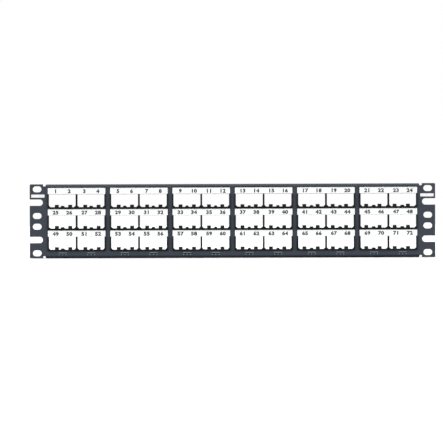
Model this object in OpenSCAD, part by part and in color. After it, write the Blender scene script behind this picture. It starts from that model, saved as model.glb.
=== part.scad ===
// 19-inch two-unit patch panel for snap-in jacks: a folded steel panel with three rows of six
// four-port faceplates, each with a numbered label card under a clear cover.
// X is the width, -Y the front, Z is up. The origin is the middle of the rack hole pattern,
// on the ears' rear faces. Millimetres.

/* [Steel panel] */
// Width over both mounting ears
panel_w = 482.6; // [400:0.1:580]
// Height of the panel
panel_h = 88.1; // [73:0.1:106]
// Thickness of the steel sheet
plate_t = 1.6; // [1:0.1:2.5]
// Depth of the folded flanges, from the front face to their rear edge
flange_d = 26; // [18:0.5:45]
// Outside radius of the two folds
bend_r = 3.6; // [2.8:0.1:4.2]
// Height of the panel above the top row
rail_top = 3.0; // [2:0.1:6]
// Height of the panel below the bottom row
rail_bottom = 8.9; // [8:0.1:14]
// Width of the panel beside the outer faceplates
body_margin = 2.7; // [1.5:0.05:6]
// Visible width of the steel bars between columns
bar_w = 5.45; // [4:0.05:9]
// Radius of the rear corners of the flanges
flange_corner_r = 3; // [0.5:0.5:8]
// Radius of the body's corners seen from the front
body_corner_r = 1.2; // [0.2:0.1:1.4]

/* [Mounting ears] */
// Width of each ear outside its relief notches
ear_w = 15.7; // [14:0.1:22]
// Radius of the ears' outer corners
ear_corner_r = 1.3; // [0.3:0.1:4]
// Width of the bend relief notches
notch_w = 3.2; // [2.4:0.1:5]
// Depth of the bend relief notches
notch_d = 2.5; // [2:0.1:4]
// Radius at the bottom corners of the notches
notch_r = 0.9; // [0.3:0.1:1.1]
// Distance from the ear's outer edge to the middle of the rack holes
hole_edge = 8.75; // [7:0.05:10]
// Distance from the panel's top or bottom edge to its outer slot
hole_end = 5.95; // [5:0.05:8]
// Height of the inner slots above and below the middle
slot_inner_z = 6.35; // [5:0.05:8]
// Height of the open-ended slots above and below the middle
slot_open_z = 22.225; // [18:0.005:24]
// Length of a closed slot
slot_l = 10.6; // [8:0.1:13]
// Height of a closed slot
slot_h = 7.1; // [5.5:0.1:8.4]
// Depth of an open-ended slot from the ear's outer edge
open_slot_l = 15.6; // [10:0.1:17]
// Height of an open-ended slot
open_slot_h = 7.5; // [6:0.1:8.8]

/* [Pressed latch seats] */
// Length of each raised seat in the bottom rail
seat_l = 10.5; // [6:0.1:14]
// Height of each raised seat at its foot
seat_h = 2.2; // [1.8:0.1:2.3]
// How far a seat is pressed forward
seat_rise = 0.7; // [0.3:0.1:1]
// Width of the slope around a seat
seat_slope = 0.8; // [0.3:0.1:0.8]
// Depth of a seat's middle below the bottom row
seat_drop = 3.1; // [2.2:0.1:3.6]
// Diameter of the three pips below each seat, at their foot
pip_d = 1.2; // [0.9:0.1:1.2]
// Diameter of a pip's flat top
pip_top_d = 0.4; // [0.2:0.1:0.8]
// Distance between neighbouring pips
pip_pitch = 4.1; // [2.5:0.1:5]
// Depth of the pips below the seat's middle
pip_drop = 1.75; // [1.6:0.05:2]
// How far the pips stand out
pip_rise = 0.5; // [0.2:0.05:0.6]

/* [Layout] */
// Columns of faceplates
cols = 6; // [6]
// Rows of faceplates
rows = 3; // [3]
// Gap between stacked faceplates
row_gap = 0.3; // [0.2:0.05:1]

/* [Faceplate] */
// Thickness of the bezel in front of the steel
bezel_t = 2.0; // [1.8:0.1:3]
// Height of the lip above the label
lip_h = 1.0; // [0.8:0.1:2]
// Height of the label zone, from the lip to the openings
label_zone_h = 8.05; // [7:0.05:10]
// Width of the side rails beside the openings
side_rail_w = 1.35; // [1.2:0.05:2.5]
// Width of the divider between the two openings
divider_w = 2.1; // [1.5:0.1:4]
// Height of the rail below the openings
rail_h = 0.95; // [0.8:0.05:1.5]
// Height the bezel covers the steel above its window
top_lap = 2.05; // [1.2:0.05:2.5]
// Height the bezel covers the steel below its window
bottom_lap = 0.2; // [0.1:0.05:0.3]
// Clearance from the faceplate's body to the window's sides
side_gap = 0.3; // [0.2:0.05:0.6]
// Clearance from the faceplate's body to the window above and below
end_gap = 0.15; // [0.1:0.05:0.3]
// Depth of the label beam behind the panel's rear face
beam_back = 6; // [5:0.5:14]
// Wall thickness of the label beam
beam_wall = 1.2; // [0.9:0.1:1.5]
// Size of the chamfers in the openings' bottom corners
foot = 2.0; // [1:0.1:3]

/* [Port guides and latches] */
// Depth of the bottom ledge behind the panel's rear face
ledge_back = 8; // [8:0.5:14]
// Width at the foot of the guide between two ports
guide_w = 4.1; // [3:0.1:5]
// Width at the top of the guide
guide_top = 2.4; // [1:0.1:2.8]
// Height of the guide
guide_h = 1.6; // [1:0.1:3]
// Width of the latch tab behind each port
tab_w = 4.6; // [3:0.1:7]
// Height of the latch tab
tab_h = 3.0; // [2:0.1:4]
// Thickness of the latch tab at its foot
tab_t = 2.0; // [1.2:0.1:3]
// Width of the catch slot above each port
catch_w = 8; // [5:0.1:10]
// Depth of the catch slot, front to back
catch_d = 1.2; // [0.8:0.1:2]
// Width of the release tongues on the beam
tongue_w = 8; // [5:0.1:11]
// Thickness of the release tongues
tongue_t = 0.9; // [0.6:0.1:1.2]
// Room below a release tongue to flex into
tongue_gap = 0.4; // [0.3:0.1:0.8]
// Width of the slits beside a release tongue
slit_w = 0.8; // [0.5:0.1:1.5]
// Depth of the release tongues behind the beam
tongue_back = 3; // [1:0.5:6]
// Height of the nose on a release tongue
nose_h = 0.6; // [0.3:0.05:0.8]
// Length of the nose's ramp
nose_l = 2.4; // [1.5:0.1:4]

/* [Label card and clear cover] */
// Thickness of the label card
card_t = 0.25; // [0.2:0.05:0.4]
// Gap around the card
card_gap = 0.1; // [0.05:0.05:0.2]
// Thickness of the clear pane
pane_t = 0.9; // [0.8:0.05:1.2]
// Thickness of the cover's lip under the beam
lip_t = 0.35; // [0.3:0.05:0.6]
// Depth of the cover's lip behind the pane
lip_d = 2.2; // [1.5:0.1:2.6]
// Width of the cover's two clips
clip_w = 4; // [3:0.1:6]
// Depth of the clips behind the pane
clip_d = 5.6; // [4:0.1:6]
// Clearance around the cover
cover_gap = 0.05; // [0.05:0.05:0.2]

/* [Write-on strips] */
// Length of a write-on strip
strip_l = 15.8; // [10:0.1:18]
// Height of a write-on strip
strip_h = 3.65; // [2:0.05:5]
// Thickness of a write-on strip
strip_t = 0.2; // [0.1:0.05:0.4]
// Radius of a write-on strip's corners
strip_r = 0.3; // [0.1:0.05:0.9]
// Distance from the ear's outer edge to the strip
strip_edge = 1.9; // [1:0.1:3]
// Distance of the strip below the middle of its two neighbouring slots
strip_drop = 0.2; // [0:0.05:0.5]

/* [Hidden] */
$fn = 48;
eps = 0.01;
past = 1;
body_w = panel_w - 2 * (ear_w + notch_w);
hole_span = panel_w - 2 * hole_edge;
slot_outer_z = panel_h / 2 - hole_end;
flange_back = flange_d - plate_t;
col_pitch = (body_w - 2 * body_margin + bar_w) / cols;
row_pitch = (panel_h - rail_top - rail_bottom) / rows;
stack_z = (rail_bottom - rail_top) / 2;

// Faceplate outline, measured from its own middle
fp_w = col_pitch - bar_w;
fp_h = row_pitch - row_gap;
fp_front = -plate_t - bezel_t;
label_top = fp_h / 2 - lip_h;
port_top = label_top - label_zone_h;
port_bottom = -fp_h / 2 + rail_h;
port_side = fp_w / 2 - side_rail_w;
pair_w = port_side - divider_w / 2;
pair_x = (port_side + divider_w / 2) / 2;
port_w = pair_w / 2;
port_xs = [-pair_x - port_w / 2, -pair_x + port_w / 2, pair_x - port_w / 2, pair_x + port_w / 2];

// Window in the steel for one faceplate
window_side = port_side + side_gap;
window_top = fp_h / 2 - top_lap;
window_bottom = -fp_h / 2 + bottom_lap;
beam_top = window_top - end_gap;
ledge_low = window_bottom + end_gap;

// Label pocket
pane_back = fp_front + pane_t;
card_y = pane_back + cover_gap;
shelf_y = card_y + card_t;
lip_low = port_top + cover_gap;
lip_high = lip_low + lip_t;
card_low = lip_high + card_gap;
seat_top = lip_high + cover_gap;

// Write-on strips and pressed seats
strip_z = (slot_open_z + slot_outer_z) / 2 - strip_drop;
strip_x = panel_w / 2 - strip_edge - strip_l / 2;
seat_z = -panel_h / 2 + rail_bottom - seat_drop;

function names(base) = [for (r = [1:rows]) for (c = [1:cols]) str(base, "_r", r, "c", c)];
function col_x(c) = (c - (cols + 1) / 2) * col_pitch;
function row_z(r) = stack_z + ((rows + 1) / 2 - r) * row_pitch;

// ---------- helpers ----------

// A flat outline in X and Z, given depth from y0 to y1
module deep(y0, y1) {
    rotate([90, 0, 0]) translate([0, 0, -y1]) linear_extrude(y1 - y0) children();
}

// A flat outline in Y and Z, given the width w across X
module wide(w) {
    rotate([90, 0, 90]) translate([0, 0, -w / 2]) linear_extrude(w) children();
}

// A box from one corner to the opposite one
module box(low, high) {
    translate(low) cube(high - low);
}

module round_rect(w, h, r) {
    square([w - 2 * r, h], center = true);
    square([w, h - 2 * r], center = true);
    for (x = [-1, 1], z = [-1, 1])
        translate([x * (w / 2 - r), z * (h / 2 - r)]) circle(r);
}

// A slot with round ends, w long and h high
module slot2d(w, h) {
    square([w - h, h], center = true);
    for (x = [-1, 1]) translate([x * (w - h) / 2, 0]) circle(h / 2);
}

module at_cells() {
    for (c = [1:cols], r = [1:rows]) translate([col_x(c), 0, row_z(r)]) children();
}

// ---------- steel panel ----------

// Section of a channel open to the rear: its front at y = front, h high, folds of radius r
module channel_side(front, h, r) {
    translate([front + r, -h / 2]) square([flange_back - front - r, h]);
    translate([front, -h / 2 + r]) square([2 * r, h - 2 * r]);
    for (s = [-1, 1]) translate([front + r, s * (h / 2 - r)]) circle(r);
}

module folded_body() {
    intersection() {
        wide(body_w) difference() {
            channel_side(-plate_t, panel_h, bend_r);
            channel_side(0, panel_h - 2 * plate_t, bend_r - plate_t);
            translate([flange_back - past, plate_t - panel_h / 2])
                square([2 * past, panel_h - 2 * plate_t]);
        }
        deep(-plate_t - past, flange_back + past) round_rect(body_w, panel_h, body_corner_r);
        translate([0, 0, -panel_h]) linear_extrude(2 * panel_h) flange_plan();
    }
}

// The body seen from above, with rounded rear corners
module flange_plan() {
    reach = flange_back + plate_t + past;
    translate([0, flange_back - reach / 2]) {
        translate([0, -flange_corner_r / 2])
            square([body_w, reach - flange_corner_r], center = true);
        square([body_w - 2 * flange_corner_r, reach], center = true);
        for (s = [-1, 1])
            translate([s * (body_w / 2 - flange_corner_r), reach / 2 - flange_corner_r])
                circle(flange_corner_r);
    }
}

module ear_outline() {
    round_rect(panel_w, panel_h, ear_corner_r);
}

module relief_notches() {
    x = body_w / 2 + notch_w / 2;
    for (sx = [-1, 1], sz = [-1, 1])
        translate([sx * x, sz * panel_h / 2]) round_rect(notch_w, 2 * notch_d, notch_r);
}

module rack_slots() {
    for (s = [-1, 1]) {
        for (z = [-slot_outer_z, -slot_inner_z, slot_inner_z, slot_outer_z])
            translate([s * hole_span / 2, z]) slot2d(slot_l, slot_h);
        for (z = [-slot_open_z, slot_open_z])
            translate([s * panel_w / 2, z]) slot2d(2 * open_slot_l, open_slot_h);
    }
}

module front_sheet() {
    flat_h = panel_h - 2 * bend_r;
    deep(-plate_t, 0) difference() {
        union() {
            difference() {
                ear_outline();
                square([body_w, panel_h + past], center = true);
            }
            square([body_w, flat_h], center = true);
        }
        relief_notches();
        rack_slots();
    }
}

module windows() {
    at_cells() box(
        [-window_side, -plate_t - past, window_bottom],
        [window_side, past, window_top]
    );
}

// The seats as ridges with sloped sides and round ends, standing forward from y = back
module seats(back) {
    low = seat_h / 2;
    high = low - seat_slope;
    reach = seat_rise + eps;
    straight = seat_l - seat_h;
    for (c = [1:cols], s = [-1, 1])
        translate([col_x(c) + s * pair_x, back + eps, seat_z]) {
            wide(straight) polygon([[0, -low], [0, low], [-reach, high], [-reach, -high]]);
            for (e = [-1, 1]) translate([e * straight / 2, 0, 0])
                rotate([90, 0, 0]) cylinder(h = reach, r1 = low, r2 = high);
        }
}

module pips() {
    for (c = [1:cols], s = [-1, 1], k = [-1:1])
        translate([col_x(c) + s * pair_x + k * pip_pitch, -plate_t + eps, seat_z - pip_drop])
            rotate([90, 0, 0]) cylinder(h = pip_rise + eps, d1 = pip_d, d2 = pip_top_d);
}

module panel_frame() {
    color([0.24, 0.26, 0.30]) difference() {
        union() {
            folded_body();
            front_sheet();
            seats(-plate_t);
            pips();
        }
        windows();
        seats(0);
    }
}

// ---------- faceplate ----------

// Outline of one two-port opening, with chamfered feet
module pair_outline() {
    w = pair_w / 2;
    b = port_bottom;
    translate([pair_x, 0]) difference() {
        polygon([
            [-w, port_top], [w, port_top],
            [w, b + foot], [w - foot, b], [foot - w, b], [-w, b + foot]
        ]);
        translate([0, b]) guide_outline();
    }
}

module bezel() {
    deep(fp_front, -plate_t) difference() {
        square([fp_w, fp_h], center = true);
        for (side = [0, 1]) mirror([side, 0]) pair_outline();
    }
}

module label_pocket() {
    box(
        [-fp_w / 2 - past, fp_front - past, port_top - eps],
        [fp_w / 2 + past, shelf_y, label_top]
    );
}

// Beam behind the label, cored from the rear over each port
module beam() {
    catch_back = beam_back - beam_wall;
    difference() {
        box([-port_side, -plate_t - eps, seat_top], [port_side, beam_back, beam_top]);
        for (x = port_xs) {
            half = (port_w - beam_wall) / 2;
            box(
                [x - half, shelf_y + beam_wall, seat_top + beam_wall],
                [x + half, beam_back + past, beam_top - beam_wall]
            );
            box(
                [x - catch_w / 2, catch_back - catch_d, seat_top - past],
                [x + catch_w / 2, catch_back, seat_top + beam_wall + past]
            );
        }
    }
}

// Room above each opening for the clear cover's lips and clips
module cover_seat() {
    for (s = [-1, 1]) translate([s * pair_x, 0, 0]) box(
        [-pair_w / 2, fp_front - past, port_top - eps],
        [pair_w / 2, -plate_t + past, seat_top]
    );
}

// Outline of the guide between two ports, standing on the ledge
module guide_outline() {
    polygon([
        [-guide_w / 2, -eps], [guide_w / 2, -eps],
        [guide_top / 2, guide_h], [-guide_top / 2, guide_h]
    ]);
}

module ledge() {
    box([-port_side, -plate_t - eps, ledge_low], [port_side, ledge_back, port_bottom]);
    for (s = [-1, 1]) translate([s * pair_x, 0, port_bottom])
        deep(-plate_t - eps, ledge_back - tab_t - catch_d) guide_outline();
    for (x = port_xs) translate([x, 0, port_bottom]) wide(tab_w) polygon([
        [ledge_back - tab_t, -eps], [ledge_back, -eps],
        [ledge_back, tab_h], [ledge_back - tab_t / 2, tab_h]
    ]);
}

// Spring tongue on the beam that holds the faceplate in its window
module tongue() {
    low = beam_top - nose_h - tongue_t;
    box([-tongue_w / 2, -plate_t, low], [tongue_w / 2, beam_back + tongue_back, low + tongue_t]);
    translate([0, 0, beam_top - nose_h]) wide(tongue_w) polygon([
        [end_gap, -eps], [end_gap + nose_l, -eps], [end_gap, nose_h]
    ]);
}

module tongue_room() {
    half = tongue_w / 2 + slit_w;
    box(
        [-half, 0, beam_top - nose_h - tongue_t - tongue_gap],
        [half, beam_back + past, beam_top + past]
    );
}

module faceplate_at_origin() {
    color([0.09, 0.09, 0.10]) {
        difference() {
            union() {
                difference() {
                    union() {
                        bezel();
                        beam();
                    }
                    for (s = [-1, 1]) translate([s * pair_x, 0, 0]) tongue_room();
                }
                for (s = [-1, 1]) translate([s * pair_x, 0, 0]) tongue();
                ledge();
            }
            label_pocket();
            cover_seat();
        }
    }
}

// ---------- label card and cover ----------

module label_card_at_origin() {
    half = fp_w / 2 - 2 * card_gap;
    color([0.96, 0.96, 0.95])
        box([-half, card_y, card_low], [half, shelf_y, label_top - card_gap]);
}

module label_cover_at_origin() {
    half = fp_w / 2 - cover_gap;
    lip_half = pair_w / 2 - cover_gap;
    color([0.85, 0.90, 0.92, 0.35]) {
        box([-half, fp_front, lip_low], [half, pane_back, label_top - cover_gap]);
        for (s = [-1, 1]) translate([s * pair_x, 0, 0]) {
            box([-lip_half, pane_back - eps, lip_low], [lip_half, pane_back + lip_d, lip_high]);
            box([-clip_w / 2, pane_back - eps, lip_low], [clip_w / 2, pane_back + clip_d, lip_high]);
        }
    }
}

// ---------- write-on strips ----------

module write_on_strip(side) {
    color([0.94, 0.94, 0.92]) translate([side * strip_x, 0, strip_z])
        deep(-plate_t - strip_t, -plate_t) round_rect(strip_l, strip_h, strip_r);
}

// ---------- the panel ----------

panel_frame();
write_on_strip(-1);  // write_on_strip_left
write_on_strip(1);  // write_on_strip_right
for (r = [1:rows], c = [1:cols]) translate([col_x(c), 0, row_z(r)]) {
    faceplate_at_origin();
    label_card_at_origin();
    label_cover_at_origin();
}
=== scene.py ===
"""Looks for a two-unit rack patch panel: powder-coated folded steel, eighteen moulded
faceplates, and numbered label cards under clear covers. Metres, Z up, front towards -Y."""

import math

import bmesh
import bpy
from mathutils import Matrix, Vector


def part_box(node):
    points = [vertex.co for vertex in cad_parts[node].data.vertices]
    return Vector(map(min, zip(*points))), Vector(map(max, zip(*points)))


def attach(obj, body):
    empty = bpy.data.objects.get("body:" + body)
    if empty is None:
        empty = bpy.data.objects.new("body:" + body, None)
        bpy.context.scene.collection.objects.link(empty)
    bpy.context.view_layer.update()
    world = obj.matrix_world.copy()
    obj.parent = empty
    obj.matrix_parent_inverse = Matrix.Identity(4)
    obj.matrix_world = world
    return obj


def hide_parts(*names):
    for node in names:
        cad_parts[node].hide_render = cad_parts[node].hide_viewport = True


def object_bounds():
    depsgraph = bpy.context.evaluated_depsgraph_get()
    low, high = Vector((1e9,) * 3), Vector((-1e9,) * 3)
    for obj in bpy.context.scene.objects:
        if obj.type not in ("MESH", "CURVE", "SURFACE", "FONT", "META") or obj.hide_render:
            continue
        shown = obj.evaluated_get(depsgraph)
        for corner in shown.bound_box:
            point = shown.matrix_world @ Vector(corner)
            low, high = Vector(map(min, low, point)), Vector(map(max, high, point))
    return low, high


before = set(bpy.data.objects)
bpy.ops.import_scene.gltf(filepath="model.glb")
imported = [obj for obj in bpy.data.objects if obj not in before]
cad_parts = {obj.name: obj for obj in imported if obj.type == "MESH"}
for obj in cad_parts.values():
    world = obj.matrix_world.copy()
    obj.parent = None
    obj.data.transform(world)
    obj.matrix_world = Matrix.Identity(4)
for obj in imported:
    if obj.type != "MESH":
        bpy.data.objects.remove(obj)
cad_size = [list(corner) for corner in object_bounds()]

MM = 0.001
ROWS, COLUMNS, PORTS = 3, 6, 4
CELLS = [(r, c) for r in range(1, ROWS + 1) for c in range(1, COLUMNS + 1)]


# ---------- materials ----------


class Finish:
    """A node material with a Principled shader, and short calls for the nodes that drive it."""

    def __init__(self, name, **settings):
        self.material = bpy.data.materials.new(name)
        self.material.use_nodes = True
        self.tree = self.material.node_tree
        self.shader = self.tree.nodes["Principled BSDF"]
        self.output = self.tree.nodes["Material Output"]
        self.place = self.node("ShaderNodeTexCoord").outputs["Object"]
        for socket, value in settings.items():
            self.shader.inputs[socket.replace("_", " ")].default_value = value

    def node(self, kind, **settings):
        made = self.tree.nodes.new(kind)
        for key, value in settings.items():
            setattr(made, key, value)
        return made

    def link(self, source, target):
        self.tree.links.new(source, target)

    def noise(self, grain, detail=3.0, rough=0.5, stretch=(1, 1, 1)):
        """A noise value with a grain of that size in metres, longer where stretch is over 1."""
        mapping = self.node("ShaderNodeMapping")
        mapping.inputs["Scale"].default_value = [1 / s for s in stretch]
        self.link(self.place, mapping.inputs["Vector"])
        noise = self.node("ShaderNodeTexNoise")
        noise.inputs["Scale"].default_value = 1 / grain
        noise.inputs["Detail"].default_value = detail
        noise.inputs["Roughness"].default_value = rough
        self.link(mapping.outputs["Vector"], noise.inputs["Vector"])
        return noise.outputs["Fac"]

    def cells(self, grain):
        """Distance to the nearest of many scattered points, with that spacing in metres."""
        voronoi = self.node("ShaderNodeTexVoronoi")
        voronoi.inputs["Scale"].default_value = 1 / grain
        self.link(self.place, voronoi.inputs["Vector"])
        return voronoi.outputs["Distance"]

    def span(self, value, low, high, start=0.3, end=0.7):
        """value, stretched so that start gives low and end gives high."""
        node = self.node("ShaderNodeMapRange")
        for name, number in zip(
            ("From Min", "From Max", "To Min", "To Max"), (start, end, low, high), strict=True
        ):
            node.inputs[name].default_value = number
        self.link(value, node.inputs["Value"])
        return node.outputs["Result"]

    def blend(self, factor, first, second):
        """A colour from first to second by factor. Either may be a colour or a socket."""
        node = self.node("ShaderNodeMix", data_type="RGBA")
        self.link(factor, node.inputs["Factor"])
        for socket, value in ((node.inputs[6], first), (node.inputs[7], second)):
            if isinstance(value, tuple):
                socket.default_value = (*value, 1)
            else:
                self.link(value, socket)
        return node.outputs[2]

    def times(self, first, second):
        node = self.node("ShaderNodeMath", operation="MULTIPLY")
        self.link(first, node.inputs[0])
        self.link(second, node.inputs[1])
        return node.outputs[0]

    def add(self, first, second, weight=1.0):
        node = self.node("ShaderNodeMath", operation="MULTIPLY_ADD")
        self.link(second, node.inputs[0])
        node.inputs[1].default_value = weight
        self.link(first, node.inputs[2])
        return node.outputs[0]

    def bump(self, height, depth, strength=1.0):
        """Raises the surface by depth metres where height is 1."""
        node = self.node("ShaderNodeBump")
        node.inputs["Strength"].default_value = strength
        node.inputs["Distance"].default_value = depth
        self.link(height, node.inputs["Height"])
        self.link(node.outputs["Normal"], self.shader.inputs["Normal"])

    def edges(self, radius):
        """1 along worn convex edges, 0 on flat faces: how far a rounded normal leans away."""
        rounded = self.node("ShaderNodeBevel", samples=6)
        rounded.inputs["Radius"].default_value = radius
        flat = self.node("ShaderNodeNewGeometry").outputs["Normal"]
        lean = self.node("ShaderNodeVectorMath", operation="DOT_PRODUCT")
        self.link(rounded.outputs["Normal"], lean.inputs[0])
        self.link(flat, lean.inputs[1])
        return self.span(lean.outputs["Value"], 1, 0, 0.86, 0.99)


# How far the latch seats stand forward of the steel, and how high the seats' middle and the
# line between the seats and the pips lie above the panel's lower edge
SEAT_RISE, SEAT_MIDDLE, PIP_LINE = 0.7 * MM, 5.8 * MM, 4.67 * MM


def powder_coat():
    """Fine-textured blue-black powder coat: orange peel, grain, thin paint on the edges, a painted
    highlight on the pips and on the upper slopes of the latch seats, and painted shade on their lower
    slopes."""
    f = Finish("powder_coat", Specular_IOR_Level=0.28)
    peel = f.noise(0.9 * MM, detail=2)
    grain = f.cells(0.32 * MM)
    cloud = f.noise(38 * MM, detail=2)
    tone = f.blend(f.span(cloud, 0, 1), (0.027, 0.034, 0.047), (0.032, 0.040, 0.054))
    speck = f.span(f.noise(0.22 * MM, detail=1), 0, 0.35, 0.5, 0.72)
    tone = f.blend(speck, tone, (0.058, 0.068, 0.086))
    worn = f.edges(0.35 * MM)
    tone = f.blend(worn, tone, (0.075, 0.088, 0.106))

    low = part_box("panel_frame")[0]
    split = f.node("ShaderNodeSeparateXYZ")
    f.link(f.place, split.inputs["Vector"])
    depth, height = split.outputs["Y"], split.outputs["Z"]
    front, middle, line = low.y + SEAT_RISE, low.z + SEAT_MIDDLE, low.z + PIP_LINE
    proud = f.span(depth, 1, 0, front - 0.2 * MM, front - 0.08 * MM)
    upper = f.span(height, 0, 1, middle + 0.1 * MM, middle + 0.3 * MM)
    under = f.span(height, 1, 0, middle - 0.4 * MM, middle - 0.2 * MM)
    # Painted highlight: the upper slopes of the latch seats get a light grey, as if lit from above
    tone = f.blend(f.times(proud, upper), tone, (0.17, 0.18, 0.20))
    # Painted shade: the lower slopes of the latch seats get a near-black colour
    tone = f.blend(f.times(proud, under), tone, (0.012, 0.015, 0.020))
    # Painted highlight: the pips get a light grey colour, standing in for glints on them
    pip_highlight = f.times(proud, f.span(height, 1, 0, line - 0.03 * MM, line + 0.03 * MM))
    tone = f.blend(pip_highlight, tone, (0.38, 0.39, 0.41))
    f.link(tone, f.shader.inputs["Base Color"])
    f.link(f.span(peel, 0.40, 0.56), f.shader.inputs["Roughness"])
    f.bump(f.add(peel, grain, 0.5), 0.035 * MM, 0.8)
    return f.material


def moulded_black():
    """Black moulded plastic with a fine spark-eroded texture and faint flow marks."""
    f = Finish("moulded_black", Specular_IOR_Level=0.18)
    flow = f.noise(9 * MM, detail=2, stretch=(3, 1, 1))
    pits = f.noise(0.11 * MM, detail=2)
    tone = f.blend(f.span(flow, 0, 1), (0.0025, 0.0025, 0.0028), (0.0042, 0.0042, 0.0046))
    rubbed = f.edges(0.25 * MM)
    f.link(f.blend(rubbed, tone, (0.009, 0.009, 0.010)), f.shader.inputs["Base Color"])
    f.link(f.span(pits, 0.44, 0.60), f.shader.inputs["Roughness"])
    f.bump(pits, 0.008 * MM, 0.6)
    return f.material


def label_paper():
    """Smooth white card with a trace of fibre."""
    f = Finish("label_paper", Specular_IOR_Level=0.25, Roughness=0.72)
    fibre = f.noise(0.5 * MM, detail=4, rough=0.65, stretch=(2.5, 1, 1))
    tone = f.blend(f.span(fibre, 0, 1), (0.87, 0.873, 0.876), (0.92, 0.92, 0.92))
    f.link(tone, f.shader.inputs["Base Color"])
    f.bump(fibre, 0.008 * MM, 0.5)
    return f.material


def printed_ink():
    """Dark toner, a little uneven, with the slight gloss that it leaves on card."""
    f = Finish("printed_ink", Specular_IOR_Level=0.4)
    mottle = f.noise(0.25 * MM, detail=2)
    f.link(
        f.blend(f.span(mottle, 0, 1), (0.003, 0.003, 0.004), (0.009, 0.009, 0.011)),
        f.shader.inputs["Base Color"],
    )
    f.link(f.span(mottle, 0.38, 0.52), f.shader.inputs["Roughness"])
    return f.material


def clear_polycarbonate():
    """Thin clear plastic: it shows what is behind it, and mirrors more at a low angle."""
    f = Finish("clear_polycarbonate", Specular_IOR_Level=0.6, IOR=1.58)
    f.shader.inputs["Base Color"].default_value = (0.9, 0.94, 0.96, 1)
    haze = f.noise(6 * MM, detail=3)
    f.link(f.span(haze, 0.05, 0.12), f.shader.inputs["Roughness"])
    f.bump(haze, 0.01 * MM, 0.3)
    through = f.node("ShaderNodeBsdfTransparent")
    through.inputs["Color"].default_value = (0.985, 0.99, 0.992, 1)
    facing = f.node("ShaderNodeLayerWeight")
    facing.inputs["Blend"].default_value = 0.5
    steep = f.node("ShaderNodeMath", operation="POWER")
    f.link(facing.outputs["Facing"], steep.inputs[0])
    steep.inputs[1].default_value = 4.0
    mixed = f.node("ShaderNodeMixShader")
    f.link(f.span(steep.outputs[0], 0.02, 0.85, 0, 1), mixed.inputs["Fac"])
    f.link(through.outputs["BSDF"], mixed.inputs[1])
    f.link(f.shader.outputs["BSDF"], mixed.inputs[2])
    f.link(mixed.outputs["Shader"], f.output.inputs["Surface"])
    return f.material


def write_on_film():
    """Matt white film with a very fine tooth for a pen."""
    f = Finish("write_on_film", Specular_IOR_Level=0.3)
    tooth = f.noise(0.2 * MM, detail=2)
    tone = f.blend(f.span(f.noise(5 * MM), 0, 1), (0.72, 0.72, 0.715), (0.78, 0.78, 0.775))
    f.link(tone, f.shader.inputs["Base Color"])
    f.link(f.span(tooth, 0.55, 0.7), f.shader.inputs["Roughness"])
    f.bump(tooth, 0.006 * MM, 0.5)
    return f.material


# ---------- mesh helpers ----------

# Edges that turn by more than SHARP stay sharp in the shading, and those that turn by more than
# CORNER are rounded. Faces within FLAT of each other are joined.
SHARP, CORNER, FLAT = math.radians(35), math.radians(40), math.radians(0.4)
WELD = 0.002 * MM
STEEL_EDGE, PLASTIC_EDGE, COVER_EDGE, FILM_EDGE = 0.22 * MM, 0.12 * MM, 0.1 * MM, 0.06 * MM
CARD_CORNER = 0.5 * MM


def finish_piece(bm, name, material, body, replaced=()):
    """Turns a bmesh into a piece of the object that rides on a body."""
    mesh = bpy.data.meshes.new(name)
    for face in bm.faces:
        face.smooth = True
    bm.to_mesh(mesh)
    bm.free()
    mesh.set_sharp_from_angle(angle=SHARP)
    mesh.materials.clear()
    mesh.materials.append(material)
    piece = bpy.data.objects.new(name, mesh)
    bpy.context.scene.collection.objects.link(piece)
    shading = piece.modifiers.new("flat_faces", "WEIGHTED_NORMAL")
    shading.keep_sharp = True
    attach(piece, body)
    if replaced:
        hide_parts(*replaced)


def joined_copy(node):
    """A CAD node's mesh with its triangles joined up into flat faces."""
    bm = bmesh.new()
    bm.from_mesh(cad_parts[node].data)
    bmesh.ops.remove_doubles(bm, verts=bm.verts, dist=WELD)
    bmesh.ops.dissolve_limit(
        bm, angle_limit=FLAT, verts=bm.verts, edges=bm.edges, delimit=set()
    )
    return bm


def round_over(bm, edges, radius, segments):
    bmesh.ops.bevel(
        bm,
        geom=edges,
        offset=radius,
        offset_type="OFFSET",
        affect="EDGES",
        segments=segments,
        profile=0.5,
        material=-1,
        clamp_overlap=True,
    )


def rounded_copy(node, radius):
    """A CAD node's mesh with every corner edge rounded."""
    bm = joined_copy(node)
    corners = [
        e for e in bm.edges if len(e.link_faces) == 2 and e.calc_face_angle(0) > CORNER
    ]
    round_over(bm, corners, radius, segments=2)
    return bm


# ---------- pieces ----------

steel = powder_coat()
plastic = moulded_black()
paper = label_paper()
ink = printed_ink()
clear = clear_polycarbonate()
film = write_on_film()


def steel_panel():
    bm = rounded_copy("panel_frame", STEEL_EDGE)
    finish_piece(bm, "steel_panel", steel, "panel", ["panel_frame"])


def write_on_strips():
    for side in ("left", "right"):
        node = f"write_on_strip_{side}"
        bm = rounded_copy(node, FILM_EDGE)
        finish_piece(bm, f"film_{side}", film, "panel", [node])


def faceplate(row, column):
    key = f"r{row}c{column}"
    bm = rounded_copy(f"faceplate_{key}", PLASTIC_EDGE)
    finish_piece(
        bm, f"bezel_{key}", plastic, f"faceplate_{key}", [f"faceplate_{key}"]
    )


def label_card(row, column):
    """A card with rounded corners, cut from a printed sheet."""
    key = f"r{row}c{column}"
    low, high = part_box(f"label_card_{key}")
    bm = bmesh.new()
    bmesh.ops.create_cube(bm, size=1)
    bmesh.ops.scale(bm, vec=high - low, verts=bm.verts)
    bmesh.ops.translate(bm, vec=(low + high) / 2, verts=bm.verts)
    thickness = high.y - low.y
    through = [e for e in bm.edges if abs((e.verts[0].co - e.verts[1].co).y) > thickness / 2]
    round_over(bm, through, CARD_CORNER, segments=4)
    finish_piece(
        bm, f"card_{key}", paper, f"faceplate_{key}", [f"label_card_{key}"]
    )


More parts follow.
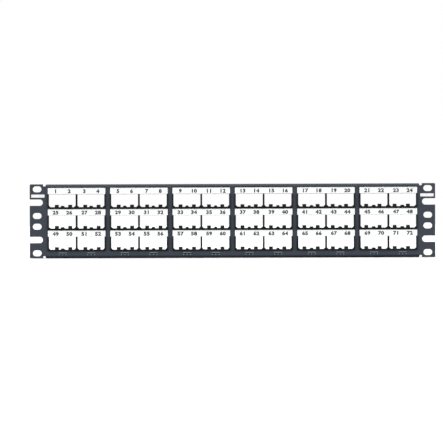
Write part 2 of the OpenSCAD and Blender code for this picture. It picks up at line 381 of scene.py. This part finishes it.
def label_cover(row, column):
    key = f"r{row}c{column}"
    bm = rounded_copy(f"label_cover_{key}", COVER_EDGE)
    finish_piece(
        bm, f"cover_{key}", clear, f"label_cover_{key}", [f"label_cover_{key}"]
    )


# Places of the four numbers on a card, across from its middle and below it, and the height of
# a figure and how much wider than the plain type it is
NUMBER_XS = [x * MM for x in (-24.95, -8.75, 9.2, 25.4)]
NUMBER_DROP = 0.45 * MM
FIGURE_HEIGHT = 4.7 * MM
FIGURE_STRETCH = 1.17
INK_THICKNESS = 0.015 * MM

# The type as it is drawn, one unit to the line: its half thickness, how much bolder it is made
# and how far apart its figures stand
TYPE_DEPTH, TYPE_BOLD, TYPE_SPACING = 0.001, 0.055, 1.09
TYPE_WELD = 1e-5


def number_mesh(text):
    """One number as a thin mesh, lying flat and centred across, one unit to the line."""
    curve = bpy.data.curves.new("figures", "FONT")
    curve.body = text
    curve.align_x = "CENTER"
    curve.size = 1
    curve.extrude = TYPE_DEPTH
    curve.offset = TYPE_BOLD
    curve.space_character = TYPE_SPACING
    curve.resolution_u = 4
    holder = bpy.data.objects.new("figures", curve)
    bpy.context.scene.collection.objects.link(holder)
    bpy.context.view_layer.update()
    mesh = bpy.data.meshes.new_from_object(holder)
    bpy.data.objects.remove(holder)
    bpy.data.curves.remove(curve)
    bm = bmesh.new()
    bm.from_mesh(mesh)
    bpy.data.meshes.remove(mesh)
    bmesh.ops.remove_doubles(bm, verts=bm.verts, dist=TYPE_WELD)
    return bm


def port_numbers(row, column):
    """The four printed numbers of one card, joined into one piece."""
    key = f"r{row}c{column}"
    low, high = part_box(f"label_card_{key}")
    middle = (low + high) / 2
    first = ((row - 1) * COLUMNS + column - 1) * PORTS + 1
    whole = bmesh.new()
    for i, x in enumerate(NUMBER_XS):
        bm = number_mesh(str(first + i))
        ys = [v.co.y for v in bm.verts]
        size = FIGURE_HEIGHT / (max(ys) - min(ys))
        rise = (max(ys) + min(ys)) / 2
        place = (
            Matrix.Translation((middle.x + x, low.y - INK_THICKNESS / 2, middle.z - NUMBER_DROP))
            @ Matrix.Rotation(math.radians(90), 4, "X")
            @ Matrix.Diagonal(
                (size * FIGURE_STRETCH, size, INK_THICKNESS / (2 * TYPE_DEPTH), 1)
            )
            @ Matrix.Translation((0, -rise, 0))
        )
        bmesh.ops.transform(bm, matrix=place, verts=bm.verts)
        part = bpy.data.meshes.new("part")
        bm.to_mesh(part)
        bm.free()
        whole.from_mesh(part)
        bpy.data.meshes.remove(part)
    finish_piece(whole, f"numbers_{key}", ink, f"faceplate_{key}")


steel_panel()
write_on_strips()
for cell in CELLS:
    faceplate(*cell)
    label_card(*cell)
    label_cover(*cell)
    port_numbers(*cell)


# ---------- studio ----------

SKY_LIGHT, GROUND_LIGHT = 0.42, 0.02
FLOOR_RADIUS, FLOOR_GAP = 30, 0.2 * MM


def floor():
    """A wide pale floor just under the panel's lower edge. It lights nothing from below."""
    bm = bmesh.new()
    bmesh.ops.create_circle(bm, cap_ends=True, segments=96, radius=FLOOR_RADIUS)
    lowest = cad_size[0][2]
    bmesh.ops.translate(bm, vec=(0, 0, lowest - FLOOR_GAP), verts=bm.verts)
    mesh = bpy.data.meshes.new("floor")
    bm.to_mesh(mesh)
    bm.free()
    pale = bpy.data.materials.new("pale_floor")
    pale.use_nodes = True
    shader = pale.node_tree.nodes["Principled BSDF"]
    shader.inputs["Base Color"].default_value = (0.93, 0.93, 0.93, 1)
    shader.inputs["Roughness"].default_value = 0.9
    shader.inputs["Specular IOR Level"].default_value = 0.1
    mesh.materials.append(pale)
    obj = bpy.data.objects.new("floor", mesh)
    bpy.context.scene.collection.objects.link(obj)
    obj.visible_diffuse = False
    obj.visible_glossy = False


def sky():
    """White to the camera all round. It lights the panel softly from above, and little from below."""
    world = bpy.data.worlds.new("studio")
    world.use_nodes = True
    tree = world.node_tree
    background = tree.nodes["Background"]
    direction = tree.nodes.new("ShaderNodeTexCoord")
    axes = tree.nodes.new("ShaderNodeSeparateXYZ")
    height = tree.nodes.new("ShaderNodeMapRange")
    path = tree.nodes.new("ShaderNodeLightPath")
    seen = tree.nodes.new("ShaderNodeMath")
    seen.operation = "MAXIMUM"
    for name, number in zip(
        ("From Min", "From Max", "To Min", "To Max"), (-0.1, 0.5, GROUND_LIGHT, SKY_LIGHT), strict=True
    ):
        height.inputs[name].default_value = number
    tree.links.new(direction.outputs["Generated"], axes.inputs["Vector"])
    tree.links.new(axes.outputs["Z"], height.inputs["Value"])
    tree.links.new(height.outputs["Result"], seen.inputs[0])
    tree.links.new(path.outputs["Is Camera Ray"], seen.inputs[1])
    tree.links.new(seen.outputs["Value"], background.inputs["Strength"])
    background.inputs["Color"].default_value = (1, 1, 1, 1)
    bpy.context.scene.world = world


def soft_light(name, around, height, strength, spread):
    """A broad distant light. around is its angle from the front in degrees, to the right."""
    lamp = bpy.data.lights.new(name, "SUN")
    lamp.energy = strength
    lamp.angle = math.radians(spread)
    obj = bpy.data.objects.new(name, lamp)
    bpy.context.scene.collection.objects.link(obj)
    obj.rotation_euler = (math.radians(90 - height), 0, math.radians(around))


# The camera stands square in front, a little left of and below the panel's middle
CAMERA_DISTANCE = 1.280
CAMERA_X, CAMERA_Z = -13.1 * MM, -3.9 * MM
VIEW_WIDTH = 527.9 * MM
CAMERA_ROLL = math.radians(0.19)


def camera():
    lens = bpy.data.cameras.new("camera")
    lens.sensor_fit = "HORIZONTAL"
    lens.lens = lens.sensor_width * CAMERA_DISTANCE / VIEW_WIDTH
    lens.clip_end = 200
    obj = bpy.data.objects.new("camera", lens)
    bpy.context.scene.collection.objects.link(obj)
    obj.location = (CAMERA_X, -CAMERA_DISTANCE, CAMERA_Z)
    obj.rotation_euler = (
        Matrix.Rotation(CAMERA_ROLL, 3, "Y") @ Matrix.Rotation(math.radians(90), 3, "X")
    ).to_euler()
    bpy.context.scene.camera = obj


bpy.context.scene.view_settings.view_transform = "Standard"
floor()
sky()
soft_light("left_front", -42, 20, 2.3, 44)
soft_light("right_front", 42, 20, 2.3, 44)
soft_light("overhead", 0, 62, 0.55, 40)
soft_light("rear_fill", 180, 45, 1.6, 60)
camera()
